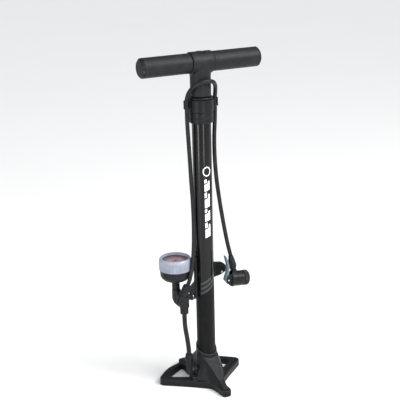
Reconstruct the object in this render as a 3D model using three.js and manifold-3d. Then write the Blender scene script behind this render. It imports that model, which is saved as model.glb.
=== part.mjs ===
// Floor bike pump: a steel barrel on a four-pointed plastic foot, a T handle on a chromed
// rod, a pressure gauge on a branched hose fitting, and a hose that goes up over the cap
// and down to a lever-lock valve head. Millimetres, +Z up. The origin is on the floor,
// on the barrel's axis. The handle lies along X and the foot's long prong points to -Y.

import * as THREE from 'three';
import { mergeVertices } from 'three/addons/utils/BufferGeometryUtils.js';
import Module from 'manifold-3d';

const wasm = await Module();
wasm.setup();

// ---------------------------------------------------------------- driving dimensions

const GAP = 0.3;                 // clearance between pieces that touch
const FINE = 28;                 // sides of a large round
const SMALL = 16;                // sides of a small round

const BARREL_R = 16;
const BARREL_WALL = 1.4;
const BARREL_BOTTOM = 38;
const BARREL_TOP = 484;

const FOOT_T = 12;               // height of the foot's bars
const SOCKET_R = 18.2;           // outside of the foot's socket at its rim
const SOCKET_FOOT_R = 21;        // outside of the socket where it meets the foot
const RIM_Z = 66.5;              // height of the sloping rim on the axis
const RIM_SLOPE = 0.56;
const FOOT_TURN = 1;             // degrees the foot is turned against the handle          // rise of the rim towards the back

const CAP_R = 21;
const CAP_BOTTOM = 469;
const CAP_STEP = 488;
const CAP_TOP = 512;
const CLIP_X = 26;               // hose clips, left and right of the cap

const ROD_R = 6;
const BUSH_BOTTOM = 474;          // underside of the rod bush
const PISTON_BOTTOM = 44;

const GRIP_Z = 567.6;            // height of the handle's axis
const GRIP_R = 16.4;
const HANDLE_HALF = 108;
const HUB_R = 18.2;
const HUB_HALF = 19.5;
const NECK_R = 17.2;
const TUBE_R = 11;               // steel tube inside the grips

const GAUGE_X = -48;
const GAUGE_Y = 16;
const BEZEL_R = 28;
const BEZEL_BOTTOM = 215.5;
const BEZEL_TOP = 236.5;
const DIAL_Z = 228;

const TEE_X = -43;               // lower port of the branched fitting
const TEE_Y = -4;
const TEE_BOTTOM = 149.5;

const OUTLET_X = -36;          // elbow on the foot
const OUTLET_Y = -3;
const OUTLET_Z = 28;

const HOSE_R = 3.5;
const LINK_R = 4;                // short hose between foot and fitting

const HEAD_X = 29;               // pivot pin of the head's lever
const HEAD_Y = -26;
const HEAD_Z = 195;              // height of the pin, on the head's axis
const HEAD_TILT = 6;             // degrees that the mouth points down
const HEAD_R = 13;

// ------------------------------------------------------------------------- materials

function material(color, roughness, metalness) {
  return new THREE.MeshStandardMaterial({ color, roughness, metalness });
}

const footPlastic = material(0x4a4b50, 0.55, 0);
const blackPlastic = material(0x2b2c2f, 0.5, 0);
const gripPlastic = material(0x505053, 0.6, 0);
const hoseRubber = material(0x3c3b40, 0.6, 0);
const sealRubber = material(0x1d1d1f, 0.8, 0);
const barrelPaint = material(0x303236, 0.25, 0.1);
const bezelPlastic = material(0xaab9cd, 0.35, 0.1);
const leverPlastic = material(0x8e99a3, 0.4, 0.1);
const dialCard = material(0xd2a5aa, 0.7, 0);
const needleRed = material(0xa01818, 0.5, 0);
const clearPlastic = material(0xffffff, 0.05, 0);
const chrome = material(0xd5d7da, 0.12, 1);
const steel = material(0x9a9da2, 0.35, 1);
const brass = material(0xb5904a, 0.3, 1);

// --------------------------------------------------------------------------- helpers

// Merges shared vertices, drops flat triangles and turns the faces outwards.
function closed(geometry) {
  const bare = geometry.clone();
  bare.deleteAttribute('normal');
  bare.deleteAttribute('uv');
  const merged = mergeVertices(bare, 1e-4);
  const position = merged.attributes.position;
  const corner = [new THREE.Vector3(), new THREE.Vector3(), new THREE.Vector3()];
  const kept = [];
  let volume = 0;
  for (let i = 0; i < merged.index.count; i += 3) {
    const triangle = [0, 1, 2].map((k) => merged.index.getX(i + k));
    if (new Set(triangle).size < 3) continue;
    triangle.forEach((v, k) => corner[k].fromBufferAttribute(position, v));
    volume += corner[0].dot(corner[1].clone().cross(corner[2]));
    kept.push(triangle);
  }
  const index = kept.flatMap((t) => (volume < 0 ? [t[0], t[2], t[1]] : t));
  merged.setIndex(index);
  return merged;
}

function solid(geometry) {
  const ready = closed(geometry);
  const vertProperties = new Float32Array(ready.attributes.position.array);
  const triVerts = new Uint32Array(ready.index.array);
  return new wasm.Manifold(new wasm.Mesh({ numProp: 3, vertProperties, triVerts }));
}

function surface(body) {
  const mesh = body.getMesh();
  const geometry = new THREE.BufferGeometry();
  geometry.setAttribute('position', new THREE.BufferAttribute(mesh.vertProperties, 3));
  geometry.setIndex(new THREE.BufferAttribute(mesh.triVerts, 1));
  return geometry;
}

function join(...geometries) {
  return surface(geometries.map(solid).reduce((a, b) => a.add(b)));
}

function cut(geometry, ...tools) {
  return surface(tools.map(solid).reduce((a, b) => a.subtract(b), solid(geometry)));
}

// A turned piece about Z from [radius, height] pairs that start and end on the axis.
function turned(profile, sides = FINE) {
  const points = profile.map(([r, z]) => new THREE.Vector2(r, z));
  return closed(new THREE.LatheGeometry(points, sides).rotateX(Math.PI / 2));
}

// A turned ring: the profile closes on itself.
function ring(profile, sides = FINE) {
  return turned([...profile, profile[0]], sides);
}

function washer(inner, outer, bottom, top, sides = FINE) {
  return ring([[inner, bottom], [outer, bottom], [outer, top], [inner, top]], sides);
}

function rod(radius, bottom, top, sides = SMALL) {
  return turned([[0, bottom], [radius, bottom], [radius, top], [0, top]], sides);
}

function block(x0, x1, y0, y1, z0, z1) {
  const box = new THREE.BoxGeometry(x1 - x0, y1 - y0, z1 - z0);
  return box.translate((x0 + x1) / 2, (y0 + y1) / 2, (z0 + z1) / 2);
}

// An outline of [x, y, corner radius] points; each corner is rounded by that much.
function outline(corners) {
  const shape = new THREE.Shape();
  const count = corners.length;
  corners.forEach(([x, y, radius], i) => {
    const here = new THREE.Vector2(x, y);
    const before = new THREE.Vector2(...corners[(i + count - 1) % count]);
    const after = new THREE.Vector2(...corners[(i + 1) % count]);
    const start = here.clone().add(before.sub(here).setLength(radius || 0));
    const end = here.clone().add(after.sub(here).setLength(radius || 0));
    if (i === 0) shape.moveTo(start.x, start.y);
    else shape.lineTo(start.x, start.y);
    if (radius) shape.quadraticCurveTo(x, y, end.x, end.y);
  });
  shape.closePath();
  return shape;
}

function mirrored(corners) {
  const other = corners.map(([x, y, radius]) => [-x, y, radius]).reverse();
  return [...corners, ...other];
}

// A flat piece: an outline in XY between two heights.
function slab(shape, bottom, top, curveSegments = 4) {
  const options = { depth: top - bottom, bevelEnabled: false, curveSegments };
  return new THREE.ExtrudeGeometry(shape, options).translate(0, 0, bottom);
}

// The same piece stood up: the outline's x stays X, its y becomes Z, from y0 to y1 along Y.
function upright(shape, y0, y1, curveSegments = 4) {
  return slab(shape, -y1, -y0, curveSegments).rotateX(Math.PI / 2);
}

// A solid through a row of rings that have the same number of points, with flat ends.
function loft(rings) {
  const sides = rings[0].length;
  const positions = rings.flat(2);
  const index = [];
  for (let row = 0; row < rings.length - 1; row += 1) {
    for (let k = 0; k < sides; k += 1) {
      const a = row * sides + k;
      const b = row * sides + ((k + 1) % sides);
      index.push(a, b, b + sides, a, b + sides, a + sides);
    }
  }
  const last = (rings.length - 1) * sides;
  for (let k = 1; k < sides - 1; k += 1) {
    index.push(0, k + 1, k, last, last + k, last + k + 1);
  }
  const geometry = new THREE.BufferGeometry();
  geometry.setAttribute('position', new THREE.Float32BufferAttribute(positions, 3));
  geometry.setIndex(index);
  return closed(geometry);
}

// A round hose along a smooth curve through the points.
function hoseAlong(points, radius, sides, steps) {
  const curve = new THREE.CatmullRomCurve3(points.map((p) => new THREE.Vector3(...p)));
  const section = new THREE.Shape();
  for (let k = 0; k < sides; k += 1) {
    const angle = (2 * Math.PI * k) / sides;
    const x = radius * Math.cos(angle);
    const y = radius * Math.sin(angle);
    if (k === 0) section.moveTo(x, y);
    else section.lineTo(x, y);
  }
  section.closePath();
  return new THREE.ExtrudeGeometry(section, { steps, extrudePath: curve, curveSegments: 1 });
}

// Turns a piece made along Z so that it runs from one point towards another.
function aimed(geometry, from, to) {
  const direction = new THREE.Vector3(...to).sub(new THREE.Vector3(...from)).normalize();
  const turn = new THREE.Quaternion();
  turn.setFromUnitVectors(new THREE.Vector3(0, 0, 1), direction);
  return geometry.applyQuaternion(turn).translate(...from);
}

function alongX(geometry) {
  return geometry.rotateY(Math.PI / 2);
}

const pump = new THREE.Group();

function add(parent, name, geometry, finish) {
  const mesh = new THREE.Mesh(geometry, finish);
  mesh.name = name;
  parent.add(mesh);
  return mesh;
}

// ------------------------------------------------------------------------------ foot

function footBars() {
  const shape = outline(mirrored([
    [7.5, -75.5, 5], [10, -36, 8], [42, -8.5, 10], [79.5, 21, 4], [79, 30, 4.5],
    [51, 56.5, 16], [21, 66, 7], [16, 80, 5],
  ]));
  for (const side of [1, -1]) {
    shape.holes.push(outline([
      [19.5 * side, -2, 4], [60 * side, 22, 6], [60 * side, 36, 6], [19.5 * side, 60, 4],
    ]));
  }
  return slab(shape, 0, FOOT_T, 3);
}

// A ridge with sloping sides, from [y, half width at the foot, half width on top, top].
function ridge(stations) {
  return loft(stations.map(([y, bottomHalf, topHalf, top]) => [
    [-bottomHalf, y, FOOT_T - 3], [bottomHalf, y, FOOT_T - 3],
    [topHalf, y, top], [-topHalf, y, top],
  ]));
}

// The front ridge runs from the socket's rim down to the tip of the long prong, and its
// flanks spread onto the front bars.
const frontRidge = ridge([
  [2, 36, 17.4, 60], [-8, 34, 16.4, 57], [-18, 25, 13.2, 50], [-36, 12, 8, 35.5],
  [-53, 9, 5.2, 22.5], [-69, 7.6, 3.8, 13],
]);
const backRidge = ridge([[4, 16, 12, 62], [18, 14, 9, 56], [66, 8, 5, 12.8]]);

function socket() {
  const tower = turned([
    [0, 3], [SOCKET_FOOT_R, 3], [SOCKET_FOOT_R, FOOT_T], [SOCKET_FOOT_R - 1.2, FOOT_T + 5],
    [SOCKET_R, 50], [SOCKET_R, 90], [0, 90],
  ]);
  const above = block(-40, 40, -60, 60, 0, 60).rotateX(Math.atan(RIM_SLOPE));
  return cut(tower, above.translate(0, 0, RIM_Z));
}

const outletPedestal = slab(outline([[-34, -14, 3], [-8, -14], [-8, 4], [-34, 4, 3]]), 2, 18.5);

const footBore = turned([
  [0, 17], [6, 17], [6, 31], [12, 31], [12, 35.5],
  [BARREL_R + GAP, 35.5], [BARREL_R + GAP, 100], [0, 100],
], FINE);

// Lightening pockets under the front bars and the prong.
function barPocket(side) {
  const corners = [[24, -17, 3], [70, 20.5, 3], [62, 19, 3], [26, -2, 3]];
  return slab(outline(corners.map(([x, y, radius]) => [x * side, y, radius])), -1, 8.5, 2);
}

function footGeometry() {
  const turnedBody = join(footBars(), frontRidge, backRidge, socket())
    .rotateZ(THREE.MathUtils.degToRad(FOOT_TURN));
  const outletRoom = block(-60, -19.6, -12, 14, 18.5, 70);
  const outletBore = alongX(rod(2.6, -21, -4)).translate(0, OUTLET_Y, 25.5);
  const outletThread = alongX(rod(5, -42, -12.5)).translate(0, OUTLET_Y, OUTLET_Z);
  const body = join(cut(turnedBody, outletRoom), outletPedestal);
  const prongPocket = slab(outline([[-5, -66, 2], [5, -66, 2], [8, -30, 2], [-8, -30, 2]]), -1, 8);
  return cut(body, footBore, outletBore, outletThread, prongPocket, barPocket(1), barPocket(-1));
}

add(pump, 'base_foot', footGeometry(), footPlastic);

// Seat, poppet and spring of the check valve, on the axis below the barrel.
add(pump, 'check_valve_seat', washer(2.6, 11.6, 31 + GAP, 35.4, SMALL), brass);
add(pump, 'check_valve_poppet', turned([
  [0, 21], [1.6, 21], [1.6, 28.4], [4.6, 28.4], [4.6, 31], [0, 31],
], SMALL), sealRubber);

function coil(radius, wire, bottom, top, turns) {
  const points = [];
  const perTurn = 10;
  for (let i = 0; i <= turns * perTurn; i += 1) {
    const angle = (2 * Math.PI * i) / perTurn;
    const z = bottom + wire + ((top - bottom - 2 * wire) * i) / (turns * perTurn);
    points.push([radius * Math.cos(angle), radius * Math.sin(angle), z]);
  }
  return hoseAlong(points, wire, 6, turns * perTurn);
}

add(pump, 'check_valve_spring', coil(3.4, 0.35, 17.4, 28, 4), steel);
add(pump, 'barrel_gasket', washer(13, BARREL_R, 35.5 + GAP, BARREL_BOTTOM - GAP), sealRubber);
add(pump, 'barrel', washer(BARREL_R - BARREL_WALL, BARREL_R, BARREL_BOTTOM, BARREL_TOP, 40),
  barrelPaint);

// ------------------------------------------------------------- outlet and short hose

const ELBOW_TOP = 45;
const LINK_NUT_TOP = 60.5;

function elbowGeometry() {
  const standpipe = rod(5.6, OUTLET_Z - 5.6, ELBOW_TOP).translate(OUTLET_X, OUTLET_Y, 0);
  const heel = alongX(rod(5.6, OUTLET_X - 4.6, -27.6)).translate(0, OUTLET_Y, OUTLET_Z);
  const spigot = alongX(rod(4.6, -32, -13)).translate(0, OUTLET_Y, OUTLET_Z);
  const across = alongX(rod(2, OUTLET_X, -12)).translate(0, OUTLET_Y, OUTLET_Z);
  const up = rod(2, OUTLET_Z, ELBOW_TOP + 1).translate(OUTLET_X, OUTLET_Y, 0);
  return cut(join(standpipe, heel, spigot), across, up);
}

const outletHex = alongX(cut(rod(6.8, -27.2, -20, 6), rod(4.9, -30, -10)))
  .translate(0, OUTLET_Y, OUTLET_Z);
const linkNut = washer(2.4, 7.2, ELBOW_TOP + GAP, LINK_NUT_TOP, SMALL);

add(pump, 'outlet_elbow', elbowGeometry(), blackPlastic);
add(pump, 'outlet_nut', outletHex, blackPlastic);
add(pump, 'lower_hose_nut', linkNut.translate(OUTLET_X, OUTLET_Y, 0), blackPlastic);

const TEE_NUT_BOTTOM = 138.5;
const linkRoute = [
  [OUTLET_X, OUTLET_Y, LINK_NUT_TOP + GAP],
  [OUTLET_X, OUTLET_Y, 68],
  [OUTLET_X - 2.6, OUTLET_Y - 0.4, 90],
  [TEE_X + 1, TEE_Y + 0.2, 112],
  [TEE_X, TEE_Y, 130],
  [TEE_X, TEE_Y, TEE_NUT_BOTTOM - GAP],
];
add(pump, 'lower_hose', hoseAlong(linkRoute, LINK_R, 10, 12), hoseRubber);

// -------------------------------------------------------------------- branched fitting

const GAUGE_BOSS_TOP = 179;
const SLANT_LOW = [-46.3, -7, 172.8];
const SLANT_HIGH = [-37.8, -9, 191.2];
const SLANT_LENGTH = Math.hypot(8.5, 2, 18.4);

function teeWeb() {
  const side = outline([
    [-7.5, TEE_BOTTOM, 2], [6, TEE_BOTTOM, 2], [21, 153.5, 4], [25.8, 161, 2],
    [25.8, GAUGE_BOSS_TOP, 1], [15, GAUGE_BOSS_TOP, 1], [11, 172, 3], [-7.5, 172, 2],
  ]);
  const run = Math.atan2(GAUGE_Y - TEE_Y, GAUGE_X - TEE_X);
  return upright(side, -5.8, 5.8).rotateZ(run).translate(TEE_X, TEE_Y, 0);
}

function teeGeometry() {
  const port = rod(8, TEE_BOTTOM, 172).translate(TEE_X, TEE_Y, 0);
  const slanted = aimed(rod(6.8, -15, -GAP), SLANT_LOW, SLANT_HIGH);
  const nutRoom = aimed(rod(9, -GAP, 30), SLANT_LOW, SLANT_HIGH);
  const lug = block(TEE_X, -31.6, -7.5, -0.5, 163, 172);
  const bore = rod(2, TEE_BOTTOM - 1, 168).translate(TEE_X, TEE_Y, 0);
  const gaugeThread = rod(4.2, 168, 190).translate(GAUGE_X, GAUGE_Y, 0);
  const screwHole = alongX(rod(1.7, -45, -30)).translate(0, -4, 167.5);
  return cut(join(teeWeb(), port, slanted, lug), nutRoom, bore, gaugeThread, screwHole);
}

const teeNut = washer(2.4, 7.2, TEE_NUT_BOTTOM, TEE_BOTTOM - GAP, SMALL);
const slantNut = turned([
  [0, 0], [6.6, 0], [7.4, 2.5], [7.4, SLANT_LENGTH - 2], [6.2, SLANT_LENGTH], [0, SLANT_LENGTH],
], SMALL);

add(pump, 'tee_block', teeGeometry(), blackPlastic);
add(pump, 'tee_lower_nut', teeNut.translate(TEE_X, TEE_Y, 0), blackPlastic);
add(pump, 'tee_upper_nut', aimed(slantNut, SLANT_LOW, SLANT_HIGH), blackPlastic);

// ------------------------------------------------------------------- barrel bracket

const BRACKET_IN = BARREL_R + GAP;
const BRACKET_OUT = 19;
const EAR_Z = 203;

// A C-shaped clip round the back of the barrel, with a plate for the fitting on its left
// and an ear that parks the head on its right.
function bracketGeometry() {
  const clip = cut(
    washer(BRACKET_IN, BRACKET_OUT, 161, 236, 40),
    block(-30, 30, -30, -4, 150, 250),
    block(0, 30, -30, 30, 150, 193.5),
    block(0, 30, -30, 30, 221, 250),
  );
  const plate = upright(outline([
    [-31, 161, 1.5], [-17, 161], [-17, 236], [-20.5, 236, 1], [-20.5, 193, 2], [-31, 184, 3],
  ]), -3.8, 0.4);
  const foot = block(-31, -27, -8, 0.4, 161.5, 174);
  const ear = upright(outline([
    [16.8, 193.5], [28, 194, 6], [39, 199, 4], [43, 207, 4], [35, 217.5, 6], [16.8, 220.5],
  ]), -2.6, 2.6);
  const barrelRoom = rod(BRACKET_IN, 150, 250, 40);
  const screwHole = alongX(rod(1.7, -33, -25)).translate(0, -4, 167.5);
  const headRoom = alongX(rod(3.4, -27, -22)).translate(0, -4, 167.5);
  const earHole = rod(1.3, -8, 8, 12).rotateX(Math.PI / 2).translate(32, 0, EAR_Z - 3);
  return cut(join(clip, plate, foot, ear), barrelRoom, screwHole, headRoom, earHole);
}

const earPin = turned([[0, -3.4], [1.1, -3.4], [1.1, 2.9], [2.3, 2.9], [1.6, 4.2], [0, 4.4]], 12);
const teeScrew = join(rod(1.4, -40, -26, 12), rod(3, -26.7, -24.6, 12));

add(pump, 'barrel_bracket', bracketGeometry(), blackPlastic);
add(pump, 'ear_rivet', earPin.rotateX(Math.PI / 2).translate(32, 0, EAR_Z - 3), steel);
add(pump, 'tee_screw', alongX(teeScrew).translate(0, -4, 167.5), steel);

// ----------------------------------------------------------------------------- gauge

const gauge = new THREE.Group();
gauge.position.set(GAUGE_X, GAUGE_Y, 0);
pump.add(gauge);

const CASE_WALL = 2;
const STEM_TOP = 205;

const caseShell = ring([
  [4.3, GAUGE_BOSS_TOP + GAP], [6.8, GAUGE_BOSS_TOP + GAP], [6.8, 190.5], [14, 194.5],
  [21.5, 197.6], [26, 203.5], [26.5, 215], [26.5, 226], [26.5 - CASE_WALL, 226],
  [26.5 - CASE_WALL, 214], [24, 204.5], [20.5, 199.8], [12, 196.4], [4.3, 196.4],
]);
const bezelRing = ring([
  [26.8, BEZEL_BOTTOM], [BEZEL_R, BEZEL_BOTTOM], [BEZEL_R, 231], [27.4, 234],
  [25.4, BEZEL_TOP], [23.4, BEZEL_TOP - 0.4], [22, 233.2], [22, 231.6],
  [24.6, 231.6], [24.6, 226.4], [26.8, 226.4],
], 40);
const stemSolid = join(rod(3.9, 170, STEM_TOP, 12), rod(6, 196.4 + GAP, 200, 6));
const needleArm = slab(outline([
  [-1.3, -6, 1], [1.3, -6, 1], [0.9, 0], [0.25, 18.5], [-0.25, 18.5], [-0.9, 0],
]), DIAL_Z + 1.6, DIAL_Z + 2);

// A bent tube that straightens under pressure and turns the needle's arbor.
function bourdonRoute() {
  const points = [];
  for (let step = 0; step <= 12; step += 1) {
    const angle = -0.5 * Math.PI + (1.5 * Math.PI * step) / 12;
    points.push([15 * Math.cos(angle), 15 * Math.sin(angle), 212]);
  }
  return points;
}

function bourdonGeometry() {
  const coilTube = hoseAlong(bourdonRoute(), 2, 8, 24);
  const foot = block(-3, 3, -17, -2, 206, 210.6);
  const post = block(-2, 2, -17, -13, 206, 212);
  return join(coilTube, foot, post);
}

add(gauge, 'gauge_case', caseShell, blackPlastic);
add(gauge, 'gauge_stem', stemSolid, brass);
add(gauge, 'gauge_bourdon_tube', bourdonGeometry(), brass);
add(gauge, 'gauge_bezel', bezelRing, bezelPlastic);
add(gauge, 'gauge_lens', rod(24.2, 229.9 + 0.4, 231.3, FINE), clearPlastic);
add(gauge, 'gauge_dial', washer(1.6, 24.1, DIAL_Z - 1, DIAL_Z, FINE), dialCard);
add(gauge, 'gauge_arbor', rod(1, 214.8, DIAL_Z + 1.2, 12), steel);
add(gauge, 'gauge_needle', join(needleArm, rod(2, DIAL_Z + 1.5, DIAL_Z + 2.1, 12))
  .rotateZ(THREE.MathUtils.degToRad(135)), needleRed);

// ------------------------------------------------------------------- cap and clips

const capBody = ring([
  [BARREL_R + GAP, CAP_BOTTOM], [19.4, CAP_BOTTOM], [20.2, CAP_BOTTOM + 2],
  [20.2, CAP_STEP - 0.4], [17.4, CAP_STEP - 0.4], [17.4, CAP_TOP - 4], [19.8, CAP_TOP - 3.6],
  [20.4, CAP_TOP - 1.4], [19.6, CAP_TOP], [9.6, CAP_TOP], [9.6, BARREL_TOP + GAP],
  [BARREL_R + GAP, BARREL_TOP + GAP],
], 40);

// The collar round the cap ends in two open clips that hold the hose upright.
function collarGeometry() {
  const bottom = CAP_STEP;
  const top = CAP_TOP - 4.4;
  const band = rod(CAP_R, bottom, top, 40);
  const wings = upright(outline([
    [-CLIP_X, top], [-CLIP_X, top - 14, 2], [-17, bottom], [17, bottom],
    [CLIP_X, top - 14, 2], [CLIP_X, top],
  ]), -2.2, 4.2);
  const tools = [rod(17.4 + GAP, bottom - 2, top + 2, 40)];
  const parts = [band, wings];
  for (const side of [1, -1]) {
    parts.push(rod(HOSE_R + 1.8, top - 14, top).translate(side * CLIP_X, 0, 0));
    tools.push(rod(HOSE_R + 0.6, top - 22, top + 2).translate(side * CLIP_X, 0, 0));
    tools.push(block(-2.8, 2.8, -9, 0, top - 22, top + 2).translate(side * CLIP_X, 0, 0));
  }
  return cut(join(...parts), ...tools);
}

const bush = ring([
  [ROD_R + 0.1, BUSH_BOTTOM], [12, BUSH_BOTTOM], [12, BARREL_TOP], [9.2, BARREL_TOP],
  [9.2, CAP_TOP - 5], [ROD_R + 0.1, CAP_TOP - 5],
], FINE);

add(pump, 'top_cap', capBody, blackPlastic);
add(pump, 'hose_collar', collarGeometry(), blackPlastic);
add(pump, 'rod_bush', bush, brass);
add(pump, 'rod_wiper', washer(ROD_R + 0.1, 9.2, CAP_TOP - 4.7, CAP_TOP - 1, FINE), sealRubber);

// ------------------------------------------------------------------- piston and rod

const piston = washer(ROD_R * 0.7 + 0.2, 13.6, PISTON_BOTTOM + 6, PISTON_BOTTOM + 15, FINE);
const cupSeal = ring([
  [4.4, PISTON_BOTTOM + 3], [12.4, PISTON_BOTTOM + 3], [14.3, PISTON_BOTTOM], [14.5, PISTON_BOTTOM],
  [14.5, PISTON_BOTTOM + 5.7], [4.4, PISTON_BOTTOM + 5.7],
], FINE);
const pistonNut = cut(rod(7, PISTON_BOTTOM - 2, PISTON_BOTTOM + 2.7, 6), rod(4.2, 30, 60));
const rodSolid = turned([
  [0, PISTON_BOTTOM - 3], [4, PISTON_BOTTOM - 3], [4, PISTON_BOTTOM + 15 + GAP],
  [ROD_R, PISTON_BOTTOM + 15 + GAP], [ROD_R, 556], [4, 556], [4, 583], [0, 583],
], FINE);

add(pump, 'piston', piston, blackPlastic);
add(pump, 'piston_cup_seal', cupSeal, sealRubber);
add(pump, 'piston_nut', pistonNut, steel);
add(pump, 'rod_buffer', washer(ROD_R + GAP, 10.5, PISTON_BOTTOM + 15.6, PISTON_BOTTOM + 24, FINE),
  sealRubber);
add(pump, 'piston_rod', rodSolid, chrome);

// ---------------------------------------------------------------------------- handle

function hubGeometry() {
  const neck = turned([
    [0, CAP_TOP + GAP], [NECK_R, CAP_TOP + GAP], [NECK_R, 545], [18, 553], [18, 562], [0, 562],
  ]);
  const sleeve = alongX(turned([
    [0, -HUB_HALF], [HUB_R - 1.4, -HUB_HALF], [HUB_R, -HUB_HALF + 1.6],
    [HUB_R, HUB_HALF - 1.6], [HUB_R - 1.4, HUB_HALF], [0, HUB_HALF],
  ])).translate(0, 0, GRIP_Z);
  const tubeBore = alongX(rod(TUBE_R + GAP, -30, 30, FINE)).translate(0, 0, GRIP_Z);
  const rodBore = rod(ROD_R + GAP, 500, 560);
  const hollow = washer(9.5, 14.8, 500, 542);
  const nutBore = rod(8, 575, 600);
  return cut(join(neck, sleeve), tubeBore, rodBore, hollow, nutBore);
}

const innerTube = cut(
  alongX(washer(TUBE_R - 1.5, TUBE_R, -100, 100, SMALL)).translate(0, 0, GRIP_Z),
  rod(6.4, 540, 562), rod(4.4, 560, 600),
);

function gripGeometry(side) {
  const near = HUB_HALF + GAP;
  const far = HANDLE_HALF - 4;
  const sleeve = ring([
    [TUBE_R + GAP, near], [GRIP_R - 0.6, near], [GRIP_R, near + 1], [GRIP_R, far],
    [TUBE_R + GAP, far],
  ]);
  return alongX(side < 0 ? sleeve.rotateX(Math.PI) : sleeve).translate(0, 0, GRIP_Z);
}

function endCapGeometry(side) {
  const plate = HANDLE_HALF - 4 + GAP;
  const cap = turned([
    [0, 90], [TUBE_R - 1.8, 90], [TUBE_R - 1.8, plate], [GRIP_R, plate],
    [GRIP_R - 3.4, HANDLE_HALF], [0, HANDLE_HALF],
  ]);
  return alongX(side < 0 ? cap.rotateX(Math.PI) : cap).translate(0, 0, GRIP_Z);
}

add(pump, 'handle_hub', hubGeometry(), gripPlastic);
add(pump, 'handle_tube', innerTube, steel);
add(pump, 'grip_left', gripGeometry(-1), gripPlastic);
add(pump, 'grip_right', gripGeometry(1), gripPlastic);
add(pump, 'grip_end_cap_left', endCapGeometry(-1), gripPlastic);
add(pump, 'grip_end_cap_right', endCapGeometry(1), gripPlastic);
add(pump, 'rod_top_nut', cut(rod(6.8, 578.9, 583.2, 6), rod(4.2, 570, 590)), steel);
add(pump, 'hub_plug', rod(7.6, 583.5, 585.6, FINE), gripPlastic);

// ------------------------------------------------------------------------------ hose

const FERRULE_TOP = [37.4, -25.5, 236.4];
const FERRULE_BOTTOM = [42, HEAD_Y, 209];

// From the slanted nut up the barrel's left side, through the left clip, over in front of
// the handle's neck, through the right clip and down to the head.
const hoseRoute = [
  [-37.67, -9.03, 191.48], [-35.1, -9.9, 198], [-31.9, -10.3, 210], [-27.8, -9.3, 226],
  [-24.6, -6.8, 242], [-21.6, -3.8, 262], [-20.3, -2.8, 300], [-20.6, -2, 336],
  [-21.9, -1, 371], [-23, -0.4, 406], [-24.6, -0.2, 441], [-25.7, 0, 468],
  [-CLIP_X, 0, 488], [-CLIP_X, -0.2, 507], [-24.6, -4.8, 519.5], [-20, -13, 530.5],
  [-11.5, -21.2, 537.8], [0, -24.6, 540], [11.5, -21.2, 537.8], [20, -13, 530.5],
  [24.6, -4.8, 519.5], [CLIP_X, -0.2, 507], [CLIP_X, 0, 488], [24.7, -1, 468],
  [21.4, -4.2, 441], [20, -7.4, 406], [20.5, -11.4, 371], [23.5, -14.6, 336],
  [27.4, -18, 301], [32.3, -21.7, 265], [35.2, -23.8, 248], [37.33, -25.4, 237.1],
];
add(pump, 'hose', hoseAlong(hoseRoute, HOSE_R, 8, 64), hoseRubber);

// ------------------------------------------------------------------------------ head

const FERRULE_LENGTH = new THREE.Vector3(...FERRULE_TOP)
  .distanceTo(new THREE.Vector3(...FERRULE_BOTTOM));

const ferruleShape = turned([
  [0, 0], [4.3, 0], [5, 2.5], [6.9, 8], [6.9, 12], [5.9, 20], [4.4, FERRULE_LENGTH - 1.5],
  [3.8, FERRULE_LENGTH], [0, FERRULE_LENGTH],
], SMALL);
add(pump, 'head_ferrule', aimed(ferruleShape, FERRULE_BOTTOM, FERRULE_TOP), blackPlastic);

const head = new THREE.Group();
head.position.set(HEAD_X, HEAD_Y, HEAD_Z);
head.rotation.y = THREE.MathUtils.degToRad(HEAD_TILT);
pump.add(head);

const BODY_START = 6;
const COLLAR_START = 30;
const HEAD_END = 39.3;
const LEVER_HALF = 4.2;

const SPIGOT_X = 11.5;            // socket on top of the body that holds the ferrule

// A point of the pump, seen from the tilted head.
function inHead(point) {
  return new THREE.Vector3(...point).sub(head.position)
    .applyAxisAngle(new THREE.Vector3(0, 1, 0), -head.rotation.y).toArray();
}

function headBodyGeometry() {
  const shell = alongX(turned([
    [0, BODY_START], [HEAD_R - 2, BODY_START], [HEAD_R, BODY_START + 2],
    [HEAD_R, COLLAR_START - GAP], [10.8, COLLAR_START - GAP], [10.8, COLLAR_START + 6],
    [0, COLLAR_START + 6],
  ]));
  const cheeks = upright(outline([
    [-3, 2, 2], [-1.5, 8, 2], [12, 11], [12, -12], [5.5, -12, 3], [-2, -4, 2],
  ]), -7, 7);
  const leverSlot = block(-10, 9, -LEVER_HALF - GAP, LEVER_HALF + GAP, -20, 20);
  const pinHole = rod(1.8, -12, 12, 16).rotateX(Math.PI / 2);
  const chamber = alongX(rod(8.4, 14, 60));
  const stemHole = alongX(rod(4, 4, 30));
  const hoseSeat = rod(2, 0, 20, 12).translate(SPIGOT_X, 0, 0);
  const spigot = rod(5.9, 6, 16.8).translate(SPIGOT_X, 0, 0);
  const ferruleSeat = aimed(rod(5.2, -GAP, 10), inHead(FERRULE_BOTTOM), inHead(FERRULE_TOP));
  const body = join(shell, cheeks, spigot);
  return cut(body, leverSlot, pinHole, chamber, stemHole, hoseSeat, ferruleSeat);
}

function leverGeometry() {
  const station = (x, z, thick, half) => [
    [x - thick, -half, z], [x - thick, half, z], [x + thick, half, z], [x + thick, -half, z],
  ];
  const blade = loft([
    station(-1, 3, 2.8, LEVER_HALF), station(-0.5, 11, 2.1, LEVER_HALF),
    station(0, 20, 1.7, LEVER_HALF), station(-1.4, 28, 1.6, LEVER_HALF),
    station(-4.6, 36, 1.6, LEVER_HALF), station(-7.6, 42.5, 1.2, LEVER_HALF - 0.8),
  ]);
  const cam = rod(5, -LEVER_HALF, LEVER_HALF, SMALL).rotateX(Math.PI / 2);
  const bore = rod(2.1, -20, 20, 16).rotateX(Math.PI / 2);
  return cut(join(blade, cam), bore);
}

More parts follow.
